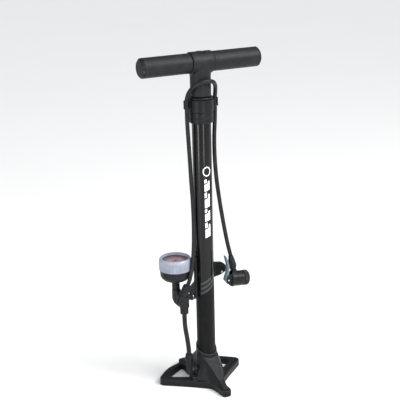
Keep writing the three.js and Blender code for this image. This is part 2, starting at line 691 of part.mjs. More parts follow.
const plungerSolid = alongX(join(rod(3.6, 5.4, 16.5, 16), rod(8, 16, 19)));
const sealSolid = alongX(ring([
  [4.2, 24], [8, 24], [8, COLLAR_START + 6.6], [4.2, COLLAR_START + 6.6],
], SMALL));
const collarSolid = alongX(ring([
  [11.1, COLLAR_START], [HEAD_R + 0.2, COLLAR_START], [HEAD_R + 0.2, HEAD_END - 1.2],
  [HEAD_R - 1, HEAD_END], [6, HEAD_END], [6, COLLAR_START + 7], [11.1, COLLAR_START + 7],
], FINE));
const pinSolid = rod(1.6, -8.4, 8.4, 16).rotateX(Math.PI / 2);

add(head, 'head_body', headBodyGeometry(), blackPlastic);
add(head, 'head_collar', collarSolid, blackPlastic);
add(head, 'head_seal', sealSolid, sealRubber);
add(head, 'head_plunger', plungerSolid, blackPlastic);
add(head, 'head_lever', leverGeometry(), leverPlastic);
add(head, 'head_lever_pin', pinSolid, steel);

export default pump;
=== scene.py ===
from functools import partial
from math import atan, atan2, cos, degrees, dist, inf, pi, radians, sin, sqrt

import bmesh
import bpy
from mathutils import Matrix, Vector


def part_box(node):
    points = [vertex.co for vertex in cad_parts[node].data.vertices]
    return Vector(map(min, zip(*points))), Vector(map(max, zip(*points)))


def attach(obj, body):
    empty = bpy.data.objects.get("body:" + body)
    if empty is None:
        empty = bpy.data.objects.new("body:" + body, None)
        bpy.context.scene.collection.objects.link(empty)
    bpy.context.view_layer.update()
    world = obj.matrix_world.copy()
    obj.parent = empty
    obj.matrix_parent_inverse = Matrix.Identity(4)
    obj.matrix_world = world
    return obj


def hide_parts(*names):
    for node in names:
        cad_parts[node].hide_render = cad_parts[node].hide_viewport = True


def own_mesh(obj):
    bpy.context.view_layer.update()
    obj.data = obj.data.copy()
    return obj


# Floor bike pump. Shapes are built in millimetres, in the frame's axes (+Z up, the long prong
# of the foot towards -Y), and are scaled to metres when a piece is made.

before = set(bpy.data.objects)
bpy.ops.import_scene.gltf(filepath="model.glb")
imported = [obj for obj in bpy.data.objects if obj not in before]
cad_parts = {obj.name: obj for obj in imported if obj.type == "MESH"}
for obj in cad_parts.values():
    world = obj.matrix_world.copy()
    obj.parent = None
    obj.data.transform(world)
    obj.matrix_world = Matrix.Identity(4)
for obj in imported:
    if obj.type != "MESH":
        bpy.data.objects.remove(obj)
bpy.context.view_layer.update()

MM = 0.001
UP = Vector((0, 0, 1))
FINE = 96  # sides of a large round
SMALL = 48  # sides of a small round
ON_AXIS = 1e-6  # a radius below this is a point on the axis

scene = bpy.context.scene
scene.view_settings.view_transform = "Standard"


def placed(name, data):
    """A new object in the scene."""
    item = bpy.data.objects.new(name, data)
    scene.collection.objects.link(item)
    return item


def box_mm(node):
    low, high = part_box(node)
    return low / MM, high / MM


def centre_mm(node):
    low, high = box_mm(node)
    return (low + high) / 2


# ---- shapes (vertices, faces)

def moved(shape, x=0.0, y=0.0, z=0.0):
    vertices, faces = shape
    return [vertex + Vector((x, y, z)) for vertex in vertices], faces


def turned_by(shape, axis, angle):
    """The shape turned about an axis through the origin by an angle in degrees."""
    vertices, faces = shape
    turn = Matrix.Rotation(radians(angle), 3, axis)
    return [turn @ vertex for vertex in vertices], faces


def along_x(shape):
    return turned_by(shape, "Y", 90)


def along_y(shape):
    return turned_by(shape, "X", -90)


def aimed(shape, start, end):
    """A shape made along +Z, turned and moved so that it runs from start towards end."""
    vertices, faces = shape
    start = Vector(start)
    turn = UP.rotation_difference(Vector(end) - start)
    return [turn @ vertex + start for vertex in vertices], faces


def rounded(first, corner, last, steps):
    """Points of a curve that leaves first and reaches last, bent towards the corner."""
    shares = [k / steps for k in range(steps + 1)]
    return [first * (1 - share) ** 2 + corner * 2 * share * (1 - share) + last * share ** 2
            for share in shares]


def softened(profile, radius, closed=False, steps=4):
    """A profile whose corners are rounded by about that much."""
    count = len(profile)
    result = []
    for i, here in enumerate(profile):
        here = Vector(here)
        if not closed and i in (0, count - 1):
            result.append(here)
            continue
        before = Vector(profile[(i - 1) % count]) - here
        after = Vector(profile[(i + 1) % count]) - here
        reach = min(radius, before.length * 0.45, after.length * 0.45)
        first = here + before.normalized() * reach
        last = here + after.normalized() * reach
        result += rounded(first, here, last, steps)
    return [tuple(point) for point in result]


def turned(profile, sides=FINE, closed=False, wave=None):
    """A turned shape about Z from (radius, height) pairs. wave(angle, radius, height) may
    change the radius, for ribs, flats and knurls."""
    vertices, rings = [], []
    for radius, height in profile:
        if radius < ON_AXIS:
            rings.append([len(vertices)])
            vertices.append(Vector((0, 0, height)))
            continue
        rings.append(list(range(len(vertices), len(vertices) + sides)))
        for k in range(sides):
            angle = 2 * pi * k / sides
            reach = wave(angle, radius, height) if wave else radius
            vertices.append(Vector((reach * cos(angle), reach * sin(angle), height)))
    faces = []
    pairs = list(zip(rings, rings[1:]))
    if closed:
        pairs.append((rings[-1], rings[0]))
    for low, high in pairs:
        for k in range(sides):
            beside = (k + 1) % sides
            if len(low) == 1:
                faces.append((low[0], high[beside], high[k]))
            elif len(high) == 1:
                faces.append((low[k], low[beside], high[0]))
            else:
                faces.append((low[k], low[beside], high[beside], high[k]))
    return vertices, faces


def hollow(profile, edge, **settings):
    """A turned shape with a hole along its axis, whose profile has softened corners."""
    return turned(softened(profile, edge, closed=True), closed=True, **settings)


def rod(radius, bottom, top, sides=SMALL, edge=0.0):
    profile = [(0, bottom), (radius, bottom), (radius, top), (0, top)]
    return turned(softened(profile, edge) if edge else profile, sides)


def ring(inner, outer, bottom, top, edge=0.4, sides=FINE, wave=None):
    profile = [(inner, bottom), (outer, bottom), (outer, top), (inner, top)]
    return hollow(profile, edge, sides=sides, wave=wave)


def block(x0, x1, y0, y1, z0, z1):
    vertices = [Vector((x, y, z)) for z in (z0, z1) for x, y in
                ((x0, y0), (x1, y0), (x1, y1), (x0, y1))]
    faces = [(3, 2, 1, 0), (4, 5, 6, 7), (0, 1, 5, 4), (1, 2, 6, 5), (2, 3, 7, 6), (3, 0, 4, 7)]
    return vertices, faces


def loft(rings):
    """A closed solid through rings of equal length, with flat ends."""
    sides = len(rings[0])
    vertices = [Vector(point) for points in rings for point in points]
    faces = []
    for row in range(len(rings) - 1):
        for k in range(sides):
            here = row * sides + k
            beside = row * sides + (k + 1) % sides
            faces.append((here, beside, beside + sides, here + sides))
    last = (len(rings) - 1) * sides
    faces.append(tuple(reversed(range(sides))))
    faces.append(tuple(range(last, last + sides)))
    return vertices, faces


def outline(corners, steps=6):
    """Points of a closed outline from (x, y, corner radius); radius may be left out."""
    count = len(corners)
    points = []
    for i, corner in enumerate(corners):
        here = Vector(corner[:2])
        radius = corner[2] if len(corner) > 2 else 0
        if not radius:
            points.append(here)
            continue
        first = here + (Vector(corners[i - 1][:2]) - here).normalized() * radius
        last = here + (Vector(corners[(i + 1) % count][:2]) - here).normalized() * radius
        points += rounded(first, here, last, steps)
    return points


def mirrored(corners):
    """The corners of the right half of an outline, followed by those of its left half."""
    return corners + [(-x, *rest) for x, *rest in reversed(corners)]


def slab(corners, bottom, top):
    points = outline(corners)
    return loft([[(*point, z) for point in points] for z in (bottom, top)])


def upright(corners, y0, y1):
    """The outline stood up: its x stays X, its y becomes Z, from y0 to y1 along Y."""
    return turned_by(slab(corners, -y1, -y0), "X", 90)


def between(first, last, start, end, place):
    """The point at the given place on the line that is first at start and last at end."""
    return first * ((end - place) / (end - start)) + last * ((place - start) / (end - start))


def smooth_path(points, per_span=8):
    """Points along a smooth curve through the given ones (a centripetal spline)."""
    points = [Vector(point) for point in points]
    points = [2 * points[0] - points[1], *points, 2 * points[-1] - points[-2]]
    path = []
    for i in range(1, len(points) - 2):
        p0, p1, p2, p3 = points[i - 1:i + 3]
        t0 = 0.0
        t1 = t0 + sqrt((p1 - p0).length)
        t2 = t1 + sqrt((p2 - p1).length)
        t3 = t2 + sqrt((p3 - p2).length)
        for k in range(per_span):
            place = t1 + (t2 - t1) * k / per_span
            early = between(p0, p1, t0, t1, place)
            middle = between(p1, p2, t1, t2, place)
            late = between(p2, p3, t2, t3, place)
            early_curve = between(early, middle, t0, t2, place)
            late_curve = between(middle, late, t1, t3, place)
            path.append(between(early_curve, late_curve, t1, t2, place))
    path.append(points[-2])
    return path


# ---- making pieces

def raw_object(name, shapes):
    vertices, faces = [], []
    for shape_vertices, shape_faces in shapes:
        start = len(vertices)
        vertices += [vertex * MM for vertex in shape_vertices]
        faces += [tuple(start + number for number in face) for face in shape_faces]
    mesh = bpy.data.meshes.new(name)
    mesh.from_pydata(vertices, [], faces)
    mesh.validate()
    skin = bmesh.new()
    skin.from_mesh(mesh)
    bmesh.ops.recalc_face_normals(skin, faces=skin.faces)
    skin.to_mesh(mesh)
    skin.free()
    return placed(name, mesh)


def settle(item):
    """Applies the object's modifiers."""
    graph = bpy.context.evaluated_depsgraph_get()
    mesh = bpy.data.meshes.new_from_object(item.evaluated_get(graph))
    item.modifiers.clear()
    item.data = mesh


def remesh(item, voxel, rounds):
    """Melts touching solids into one skin and softens its edges."""
    modifier = item.modifiers.new("Remesh", "REMESH")
    modifier.mode = "VOXEL"
    modifier.voxel_size = voxel * MM
    if rounds:
        soften = item.modifiers.new("Smooth", "SMOOTH")
        soften.factor = 0.5
        soften.iterations = rounds
    settle(item)


def cut_away(item, tools):
    for tool in tools:
        cutter = raw_object("cutter", [tool])
        modifier = item.modifiers.new("Cut", "BOOLEAN")
        modifier.operation = "DIFFERENCE"
        modifier.object = cutter
        modifier.solver = "EXACT"
        settle(item)
        bpy.data.objects.remove(cutter)


SMOOTH_BELOW = 28  # degrees; a sharper edge is bevelled


def piece(name, shapes, material, body="frame", nodes=None, voxel=None, rounds=4, cutters=(),
          sharp=35, slot=None, bevel=None):
    """A finished piece: shapes are joined, melted, cut, softened and given their material."""
    item = raw_object(f"{name}_look", shapes)
    if voxel:
        remesh(item, voxel, 0 if cutters else rounds)
    if cutters:
        cut_away(item, cutters)
        if voxel:
            remesh(item, voxel, rounds)
    if bevel:
        modifier = item.modifiers.new("Bevel", "BEVEL")
        modifier.width = bevel * MM
        modifier.segments = 3
        modifier.limit_method = "ANGLE"
        modifier.angle_limit = radians(SMOOTH_BELOW)
        settle(item)
    item.data.shade_smooth()
    if sharp:
        item.data.set_sharp_from_angle(angle=radians(sharp))
    item.data.materials.clear()
    item.data.materials.append(material)
    nodes = [name] if nodes is None else nodes
    if nodes:
        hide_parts(*nodes)
    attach(item, body)
    return item


# ---- materials

def linear(*screen_values):
    """A colour from red, green and blue screen values of 0 to 255, by the sRGB curve."""
    colour = []
    for value in screen_values:
        share = value / 255
        colour.append(((share + 0.055) / 1.055) ** 2.4 if value > 10 else share / 12.92)
    return (*colour, 1.0)


class Finish:
    """A Principled material and the few node links that the finishes here share."""

    def __init__(self, name, **sockets):
        self.material = bpy.data.materials.new(name)
        self.material.use_nodes = True
        self.tree = self.material.node_tree
        self.shader = self.tree.nodes["Principled BSDF"]
        for socket, value in sockets.items():
            self.shader.inputs[socket.replace("_", " ")].default_value = value
        self.place = self.node("ShaderNodeTexCoord").outputs["Object"]

    def node(self, kind, **settings):
        made = self.tree.nodes.new(kind)
        for key, value in settings.items():
            setattr(made, key, value)
        return made

    def link(self, source, target):
        self.tree.links.new(source, target)

    def maths(self, operation, first, second=None, third=None):
        made = self.node("ShaderNodeMath", operation=operation)
        for socket, value in zip(made.inputs, (first, second, third)):
            if value is None:
                continue
            if isinstance(value, (int, float)):
                socket.default_value = value
            else:
                self.link(value, socket)
        return made.outputs[0]

    def noise(self, size_mm, detail=2.0, stretch=(1, 1, 1)):
        """A noise from 0 to 1 whose blots are about size_mm across."""
        mapping = self.node("ShaderNodeMapping")
        mapping.inputs["Scale"].default_value = stretch
        self.link(self.place, mapping.inputs["Vector"])
        texture = self.node("ShaderNodeTexNoise")
        texture.inputs["Scale"].default_value = 1 / (size_mm * MM)
        texture.inputs["Detail"].default_value = detail
        self.link(mapping.outputs["Vector"], texture.inputs["Vector"])
        return texture.outputs["Fac"]

    def span(self, value, low=0.0, high=1.0, from_low=0.3, from_high=0.7):
        """The value moved from one range to another, and held at its ends."""
        made = self.node("ShaderNodeMapRange")
        for socket, number in (("From Min", from_low), ("From Max", from_high),
                               ("To Min", low), ("To Max", high)):
            made.inputs[socket].default_value = number
        self.link(value, made.inputs["Value"])
        return made.outputs["Result"]

    def mix(self, share, first, second):
        """Two colours mixed. Each is a colour from a node, or screen values from 0 to 255."""
        made = self.node("ShaderNodeMix", data_type="RGBA")
        self.link(share, made.inputs["Factor"])
        for socket, colour in ((made.inputs["A"], first), (made.inputs["B"], second)):
            if isinstance(colour, tuple):
                socket.default_value = linear(*colour)
            else:
                self.link(colour, socket)
        return made.outputs["Result"]

    def mottled(self, size_mm, detail, first, second):
        """Two colours in blots that are about size_mm across."""
        return self.mix(self.span(self.noise(size_mm, detail)), first, second)

    def colour(self, source):
        self.link(source, self.shader.inputs["Base Color"])

    def roughness(self, source):
        self.link(source, self.shader.inputs["Roughness"])

    def bump(self, height, depth_mm, strength=1.0):
        made = self.node("ShaderNodeBump")
        made.inputs["Strength"].default_value = strength
        made.inputs["Distance"].default_value = depth_mm * MM
        self.link(height, made.inputs["Height"])
        self.link(made.outputs["Normal"], self.shader.inputs["Normal"])


PLASTIC_SHINE = 0.18  # specular level of the plastics
FILM_SHINE = 0.12  # specular level of the barrel


def moulded(name, dark, light, rough=(0.42, 0.6), grain=0.35, depth=0.05, worn=None, **sockets):
    """Moulded plastic: slight mottling, a fine grain, and edges rubbed a little lighter."""
    finish = Finish(name, **{"Specular_IOR_Level": PLASTIC_SHINE, **sockets})
    mottled = finish.mottled(14, 4, dark, light)
    if worn:
        edge = finish.node("ShaderNodeNewGeometry").outputs["Pointiness"]
        rubbed = finish.maths("MULTIPLY", finish.span(edge, from_low=0.52, from_high=0.62),
                              finish.span(finish.noise(3, 3), 0.25))
        mottled = finish.mix(rubbed, mottled, worn)
    finish.colour(mottled)
    finish.roughness(finish.span(finish.noise(5, 3), *rough))
    finish.bump(finish.noise(grain, 3), depth)
    return finish.material


def metal(name, dark, light, rough, stretch=(1, 1, 1), depth=0.01):
    finish = Finish(name, Metallic=1.0)
    finish.colour(finish.mottled(6, 3, dark, light))
    finish.roughness(finish.span(finish.noise(2, 3, stretch), *rough))
    finish.bump(finish.noise(0.6, 2, stretch), depth)
    return finish.material


foot_plastic = moulded("foot_plastic", (13, 14, 15), (22, 23, 25), (0.38, 0.52),
                       grain=0.5, depth=0.07, worn=(92, 94, 98))
black_plastic = moulded("black_plastic", (19, 20, 21), (29, 30, 32), (0.32, 0.46), worn=(78, 80, 84))
cap_plastic = moulded("cap_plastic", (16, 17, 18), (25, 26, 28), (0.3, 0.44), worn=(84, 86, 90))
grip_plastic = moulded("grip_plastic", (23, 24, 26), (33, 34, 37), (0.42, 0.55),
                       grain=0.28, depth=0.06, worn=(84, 85, 89))
hose_rubber = moulded("hose_rubber", (24, 23, 25), (34, 33, 36), (0.34, 0.46), grain=0.8, depth=0.03)
seal_rubber = moulded("seal_rubber", (24, 24, 25), (32, 32, 34), (0.6, 0.75))
bezel_plastic = moulded("bezel_plastic", (132, 138, 152), (152, 158, 172),
                        (0.26, 0.36), depth=0.02, worn=(200, 204, 216), Coat_Weight=0.3)
lever_plastic = moulded("lever_plastic", (84, 95, 102), (108, 120, 127),
                        (0.25, 0.38), depth=0.02, worn=(160, 170, 177), Coat_Weight=0.3)
needle_paint = moulded("needle_paint", (150, 20, 20), (175, 32, 28), (0.4, 0.5))
print_black = moulded("print_black", (30, 26, 30), (40, 36, 40), (0.5, 0.6))
chrome = metal("chrome", (205, 207, 211), (226, 228, 231), (0.06, 0.14), stretch=(1, 1, 0.05))
zinc = metal("zinc", (165, 168, 173), (196, 199, 203), (0.22, 0.4))
brass = metal("brass", (172, 134, 66), (201, 163, 92), (0.2, 0.36))

FILM_EDGE_Z = 0.182  # metres, where the film's slanted edge crosses x = 0
FILM_EDGE_SLOPE = 1.1
FILM_BLEND = 0.0001  # half the width of that edge
WEAVE_ACROSS = 64  # the weave's phase in radians, for each radian round the barrel
WEAVE_ALONG = 4200  # and for each metre of height
DIAL_BAND = (0.0168, 0.0170)  # metres from the dial's middle, where the rose band starts


def barrel_paint():
    """Gloss printed film above a slanted edge, and bare satin paint below it."""
    finish = Finish("barrel_paint", Coat_Roughness=0.1, Specular_IOR_Level=FILM_SHINE)
    parts = finish.node("ShaderNodeSeparateXYZ")
    finish.link(finish.place, parts.inputs["Vector"])
    x, y, z = parts.outputs
    film_edge = finish.maths("MULTIPLY_ADD", x, FILM_EDGE_SLOPE, FILM_EDGE_Z)
    film = finish.span(finish.maths("SUBTRACT", z, film_edge),
                       from_low=-FILM_BLEND, from_high=FILM_BLEND)
    angle = finish.maths("ARCTAN2", x, finish.maths("MULTIPLY", y, -1.0))
    # A weave of small squares shows faintly through the film.
    across = finish.maths("SINE", finish.maths("MULTIPLY", angle, WEAVE_ACROSS))
    along = finish.maths("SINE", finish.maths("MULTIPLY", z, WEAVE_ALONG))
    weave = finish.span(finish.maths("MULTIPLY", across, along), from_low=-0.3, from_high=0.3)
    woven = finish.mix(weave, (7, 7, 8), (15, 15, 16))
    satin = finish.mottled(9, 4, (10, 11, 12), (17, 18, 19))
    finish.colour(finish.mix(film, satin, woven))
    rubs = finish.span(finish.noise(4, 4, (1, 1, 0.1)), 0.0, 0.08)
    finish.roughness(finish.maths("ADD", rubs, finish.span(film, 0.46, 0.2, 0.0, 1.0)))
    finish.link(finish.span(film, 0.0, 0.35, 0.0, 1.0), finish.shader.inputs["Coat Weight"])
    finish.bump(finish.noise(1.2, 2), 0.004)
    return finish.material


def dial_card():
    """Printed card: a pale centre and a rose band round the edge."""
    finish = Finish("dial_card", Roughness=0.55)
    away = finish.node("ShaderNodeVectorMath", operation="DISTANCE")
    finish.link(finish.place, away.inputs[0])
    away.inputs[1].default_value = centre_mm("gauge_dial") * MM
    band = finish.span(away.outputs["Value"], 0.0, 1.0, *DIAL_BAND)
    paper = finish.mottled(3, 3, (206, 180, 186), (216, 192, 197))
    finish.colour(finish.mix(band, paper, (196, 120, 130)))
    finish.bump(finish.noise(0.2, 2), 0.01)
    return finish.material


def clear_lens():
    finish = Finish("clear_lens", Base_Color=(1, 1, 1, 1), IOR=1.46, Transmission_Weight=1.0)
    finish.roughness(finish.span(finish.noise(7, 3), 0.0, 0.03))
    return finish.material


def film_print():
    finish = Finish("film_print", Coat_Weight=0.5, Coat_Roughness=0.08)
    finish.colour(finish.mottled(5, 3, (224, 230, 236), (246, 249, 252)))
    finish.roughness(finish.span(finish.noise(3, 3), 0.25, 0.35))
    return finish.material


barrel_finish = barrel_paint()
dial_finish = dial_card()
lens_finish = clear_lens()
print_white = film_print()
print_grey = moulded("print_grey", (44, 45, 47), (56, 57, 59), (0.2, 0.3), Coat_Weight=0.5)

# Pieces of the materials that several pieces share.
black_piece = partial(piece, material=black_plastic, slot="black_plastic")
grip_piece = partial(piece, material=grip_plastic, slot="grip_plastic", body="handle")
steel_piece = partial(piece, material=zinc, slot="steel")
brass_piece = partial(piece, material=brass, slot="brass")
rubber_piece = partial(piece, material=seal_rubber, slot="seal_rubber")

# ---- camera

CAMERA_TURN = radians(-27.14)  # azimuth, 0 looks along +Y
CAMERA_RISE = radians(17.03)
CAMERA_ROLL = radians(-1.35)
CAMERA_DISTANCE = 1.68714
FOCAL_LENGTH = 90.57
SENSOR_WIDTH = 36
AIM = Vector((-0.00776, -0.00398, 0.33701))

back = Vector((sin(CAMERA_TURN) * cos(CAMERA_RISE),
               -cos(CAMERA_TURN) * cos(CAMERA_RISE), sin(CAMERA_RISE)))
right = Vector((cos(CAMERA_TURN), sin(CAMERA_TURN), 0))
above = back.cross(right)
rolled_right = right * cos(CAMERA_ROLL) + above * sin(CAMERA_ROLL)
rolled_above = above * cos(CAMERA_ROLL) - right * sin(CAMERA_ROLL)
lens = bpy.data.cameras.new("camera")
lens.lens = FOCAL_LENGTH
lens.sensor_width = SENSOR_WIDTH
camera = placed("camera", lens)
facing = Matrix((rolled_right, rolled_above, back)).transposed().to_4x4()
camera.matrix_world = Matrix.Translation(AIM + back * CAMERA_DISTANCE) @ facing
scene.camera = camera

# ---- hose

HOSE_R = 3.5
CLIP_X = 26
hose_route = [
    (-37.67, -9.03, 191.48), (-35.1, -9.9, 198), (-31.9, -10.3, 210), (-27.8, -9.3, 226),
    (-24.6, -6.8, 242), (-21.6, -3.8, 262), (-20.3, -2.8, 300), (-20.6, -2, 336),
    (-21.9, -1, 371), (-23, -0.4, 406), (-24.6, -0.2, 441), (-25.7, 0, 468),
    (-CLIP_X, 0, 488), (-CLIP_X, -0.2, 507), (-24.6, -4.8, 519.5), (-20, -13, 530.5),
    (-11.5, -21.2, 537.8), (0, -24.6, 540), (11.5, -21.2, 537.8), (20, -13, 530.5),
    (24.6, -4.8, 519.5), (CLIP_X, -0.2, 507), (CLIP_X, 0, 488), (24.7, -1, 468),
    (21.4, -4.2, 441), (20, -7.4, 406), (20.5, -11.4, 371), (23.5, -14.6, 336),
    (27.4, -18, 301), (32.3, -21.7, 265), (35.2, -23.8, 248), (37.33, -25.4, 237.1),
]


def hose_piece(name, route, radius, material):
    """A round hose along the route, and its length in metres."""
    curve = bpy.data.curves.new(f"{name}_look", "CURVE")
    curve.dimensions = "3D"
    curve.bevel_depth = radius * MM
    curve.bevel_resolution = 8
    curve.use_fill_caps = True
    path = smooth_path(route)
    spline = curve.splines.new("POLY")
    spline.points.add(len(path) - 1)
    for point, place in zip(spline.points, path):
        point.co = (*(place * MM), 1)
    spline.use_smooth = True
    curve.materials.append(material)
    item = placed(curve.name, curve)
    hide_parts(name)
    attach(item, "frame")
    length = sum((last - first).length for first, last in zip(path, path[1:])) * MM
    return item, length


hose, hose_length = hose_piece("hose", hose_route, HOSE_R, hose_rubber)

# ---- foot

FOOT_TOP = 12  # the flat plate's top
FOOT_TURN = 1  # degrees about the barrel
SOCKET_R = 18.2
SOCKET_FOOT_R = 21
RIM_Z = 66.5  # the socket's sloping rim, on the barrel's axis
RIM_SLOPE = 0.56
BARREL_R = 16


def ridge(stations):
    """A tapering ridge along Y from (y, half width below, half width on top, top)."""
    return loft([[(-low, y, FOOT_TOP - 3), (low, y, FOOT_TOP - 3), (high, y, top), (-high, y, top)]
                 for y, low, high, top in stations])


def make_foot():
    bars = slab(mirrored([
        (7.5, -75.5, 5), (10, -36, 8), (42, -8.5, 10), (79.5, 21, 4), (79, 30, 4.5),
        (51, 56.5, 16), (21, 66, 7), (16, 80, 5),
    ]), 0, FOOT_TOP)
    front = ridge([(2, 36, 17.4, 60), (-8, 34, 16.4, 57), (-18, 25, 13.2, 50),
                   (-36, 12, 8, 35.5), (-53, 9, 5.2, 22.5), (-69, 7.6, 3.8, 13)])
    rear = ridge([(4, 16, 12, 62), (18, 14, 9, 56), (66, 8, 5, 12.8)])
    tower = turned([(0, 3), (SOCKET_FOOT_R, 3), (SOCKET_FOOT_R, FOOT_TOP),
                    (SOCKET_FOOT_R - 1.2, FOOT_TOP + 5), (SOCKET_R, 50), (SOCKET_R, 90), (0, 90)])
    pedestal = slab([(-34, -14, 3), (-8, -14), (-8, 4), (-34, 4, 3)], 2, 18.5)
    above_rim = moved(turned_by(block(-60, 60, -90, 90, 0, 80), "X", degrees(atan(RIM_SLOPE))), z=RIM_Z)
    cuts = []
    for corners, low, high in (
            ([(19.5, -2, 4), (60, 22, 6), (60, 36, 6), (19.5, 60, 4)], -5, 30),
            ([(25, -14, 1.2), (70, 19.5, 1.2), (68, 23.5, 1.2), (27, -7, 1.2)], FOOT_TOP - 2.2, 30),
            ([(24, -17, 3), (70, 20.5, 3), (62, 19, 3), (26, -2, 3)], -3, 8)):
        for side in (1, -1):
            cuts.append(slab([(side * x, y, radius) for x, y, radius in corners], low, high))
    prong_hollow = slab([(-5, -66, 2), (5, -66, 2), (8, -30, 2), (-8, -30, 2)], -3, 8)
    outlet_room = block(-60, -19.6, -12, 14, 18.5, 70)
    bore = turned([(0, 17), (6, 17), (6, 31), (12, 31), (12, 35.5),
                   (BARREL_R + 0.25, 35.5), (BARREL_R + 0.25, 100), (0, 100)])
    outlet_bore = moved(along_x(rod(5, -42, -12.5)), 0, -3, 28)
    shapes = [turned_by(shape, "Z", FOOT_TURN) for shape in (bars, front, rear, tower)]
    tools = [turned_by(tool, "Z", FOOT_TURN) for tool in (above_rim, *cuts, prong_hollow)]
    piece("base_foot", [*shapes, pedestal], foot_plastic, voxel=0.9, rounds=5,
          cutters=[*tools, outlet_room, bore, outlet_bore], slot="foot_plastic")


make_foot()

# ---- barrel

barrel_low, barrel_high = box_mm("barrel")
piece("barrel", [ring(BARREL_R - 1.4, BARREL_R, barrel_low.z, barrel_high.z, edge=0.5,
                      sides=160)], barrel_finish, slot="barrel_paint")


PRINT_LOW = 0.01  # the print's lower and upper side, above the barrel
PRINT_HIGH = 0.06
COLUMN_LOW = 272
BAR_HEIGHTS = (15, 9, 13, 6, 15, 9, 12, 6)
BAR_GAP = 2.4
EMBLEM_Z = 388
EMBLEM_RADII = (7.2, 6.4, 5.6)
EMBLEM_SIDES = 48
STRIPE_LEFT = -15
STRIPE_WIDTH = 33
STRIPE_CLIMB = 23


def wrapped(rows):
    """A thin closed skin on the barrel from rows of (across, height) points, in millimetres.
    Across is measured round the barrel from its front."""
    columns = len(rows[0])
    vertices, faces = [], []
    for radius in (BARREL_R + PRINT_LOW, BARREL_R + PRINT_HIGH):
        for row in rows:
            for across, height in row:
                angle = across / BARREL_R
                vertices.append(Vector((radius * sin(angle), -radius * cos(angle), height)))
    layer = len(rows) * columns
    for row in range(len(rows) - 1):
        for column in range(columns - 1):
            here = row * columns + column
            over = here + columns
            faces.append((here + layer, here + 1 + layer, over + 1 + layer, over + layer))
            faces.append((here, over, over + 1, here + 1))
    edge = [*range(columns),
            *(row * columns + columns - 1 for row in range(1, len(rows))),
            *(layer - 1 - column for column in range(1, columns)),
            *(row * columns for row in range(len(rows) - 2, 0, -1))]
    for here, beside in zip(edge, edge[1:] + edge[:1]):
        faces.append((here, beside, beside + layer, here + layer))
    return vertices, faces


def slanted_bar(low, high, left, right, slant=0.35, rows=4, columns=6):
    """A printed bar that climbs to the right by slant times its width."""
    width = right - left
    points = []
    for row in range(rows + 1):
        height = low + (high - low) * row / rows
        points.append([(left + width * column / columns, height + slant * (column / columns) * width)
                       for column in range(columns + 1)])
    return wrapped(points)


def printed_column():
    """White marks up the front of the barrel: a ring over a column of slanted bars."""
    marks = []
    low = COLUMN_LOW
    for number, height in enumerate(BAR_HEIGHTS):
        if number % 2:
            marks.append(slanted_bar(low, low + height, -4.6, -0.8))
            marks.append(slanted_bar(low - 3, low + height - 3, 1.4, 4.8))
        else:
            marks.append(slanted_bar(low, low + height, -4.6, 4.8))
        low += height + BAR_GAP
    emblem = []
    for k in range(EMBLEM_SIDES + 1):
        angle = 2 * pi * k / EMBLEM_SIDES
        emblem.append([(radius * cos(angle), EMBLEM_Z + radius * 1.15 * sin(angle))
                       for radius in EMBLEM_RADII])
    marks.append(wrapped(emblem))
    piece("barrel_marks", marks, print_white, nodes=(), sharp=40)


def sweep_stripe(base, thickness, steps=24):
    """A stripe that climbs from the barrel's left to its right and thins out there."""
    rows = []
    for k in range(steps + 1):
        share = k / steps
        across = STRIPE_LEFT + STRIPE_WIDTH * k / steps
        middle = base + STRIPE_CLIMB * share ** 1.3
        half = thickness * (0.25 + 0.75 * sin(pi * min(1, 0.15 + share)))
        rows.append([(across, middle - half), (across, middle), (across, middle + half)])
    return wrapped(rows)


printed_column()
piece("barrel_stripes", [sweep_stripe(171 + 8.5 * n, 2.1) for n in range(3)], print_grey,
      nodes=(), sharp=40)

# ---- outlet and short hose

OUTLET = (-36, -3)
OUTLET_Z = 28
ELBOW_R = 5.6
TEE = (-43, -4)
SCREW = (0, -4, 167.5)


def flats(count, core, share=1.0):
    """Presses a round into count flat sides, outside the core radius. share is how far."""
    def wave(angle, radius, height):
        if radius < core:
            return radius
        turn = angle % (2 * pi / count) - pi / count
        flat = radius * cos(pi / count) / cos(turn)
        return radius + (flat - radius) * share
    return wave


def ribs(count, depth, core, low=-inf, high=inf):
    """Cuts count shallow grooves along a round, outside the core radius and from low to high."""
    def wave(angle, radius, height):
        if radius < core or not low < height < high:
            return radius
        return radius - depth * (0.5 - 0.5 * cos(count * angle)) ** 2
    return wave


def make_outlet():
    x, y = OUTLET
    upright_limb = moved(rod(ELBOW_R, 22.6, 45, edge=1.5), x, y)
    elbow_ball = moved(turned([(ELBOW_R * sin(angle), OUTLET_Z - ELBOW_R * cos(angle))
                               for angle in (pi * k / 16 for k in range(17))]), x, y)
    heel = moved(along_x(rod(ELBOW_R, x - 4.4, -27.6, edge=1)), 0, y, OUTLET_Z)
    spigot = moved(along_x(rod(4.6, -32, -13)), 0, y, OUTLET_Z)
    web = moved(block(-3.6, 3.6, -1.1, 1.1, 27, 42), x + 4.5, y)
    black_piece("outlet_elbow", [upright_limb, elbow_ball, heel, spigot, web], voxel=0.4, rounds=5)
    hexagon = hollow([(4.8, -27.2), (6.8, -27.2), (6.8, -20), (4.8, -20)], 0.7, wave=flats(6, 5.5))
    black_piece("outlet_nut", [moved(along_x(hexagon), 0, y, OUTLET_Z)])
    sleeve = hollow([(2.5, 45.3), (6.6, 45.3), (7.2, 47.5), (7.2, 55), (6.3, 56.2), (6.3, 60.4),
                     (2.5, 60.4)], 0.6, wave=flats(8, 4, 0.7))
    black_piece("lower_hose_nut", [moved(sleeve, x, y)])


